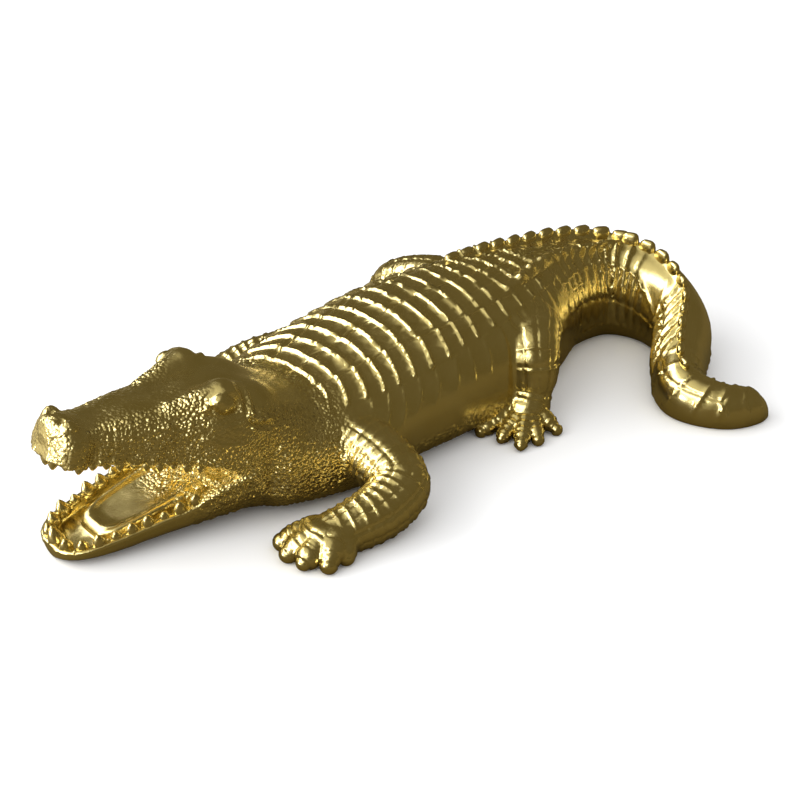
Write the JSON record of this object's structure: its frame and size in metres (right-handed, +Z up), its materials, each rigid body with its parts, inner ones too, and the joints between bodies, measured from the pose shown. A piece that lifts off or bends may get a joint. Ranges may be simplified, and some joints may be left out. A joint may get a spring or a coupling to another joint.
{
  "type": "crocodile sculpture",
  "caption": "Gilt desk ornament of a crocodile lying on its belly with open jaws, bent legs and a curled tail; it rests flat on its underside.",
  "frame": {"origin": "middle of the bounding box, at the height of the surface that the ornament lies on", "axes": "+X from the head towards the tail, along the animal's length; +Y from its left flank to its right; +Z up"},
  "size_m": [0.2901, 0.1656, 0.0571],
  "materials": {
    "gilt": "bright gilt metallic lacquer over cast resin"
  },
  "bodies": {
    "root": {"crocodile": "gilt"}
  },
  "joints": []
}
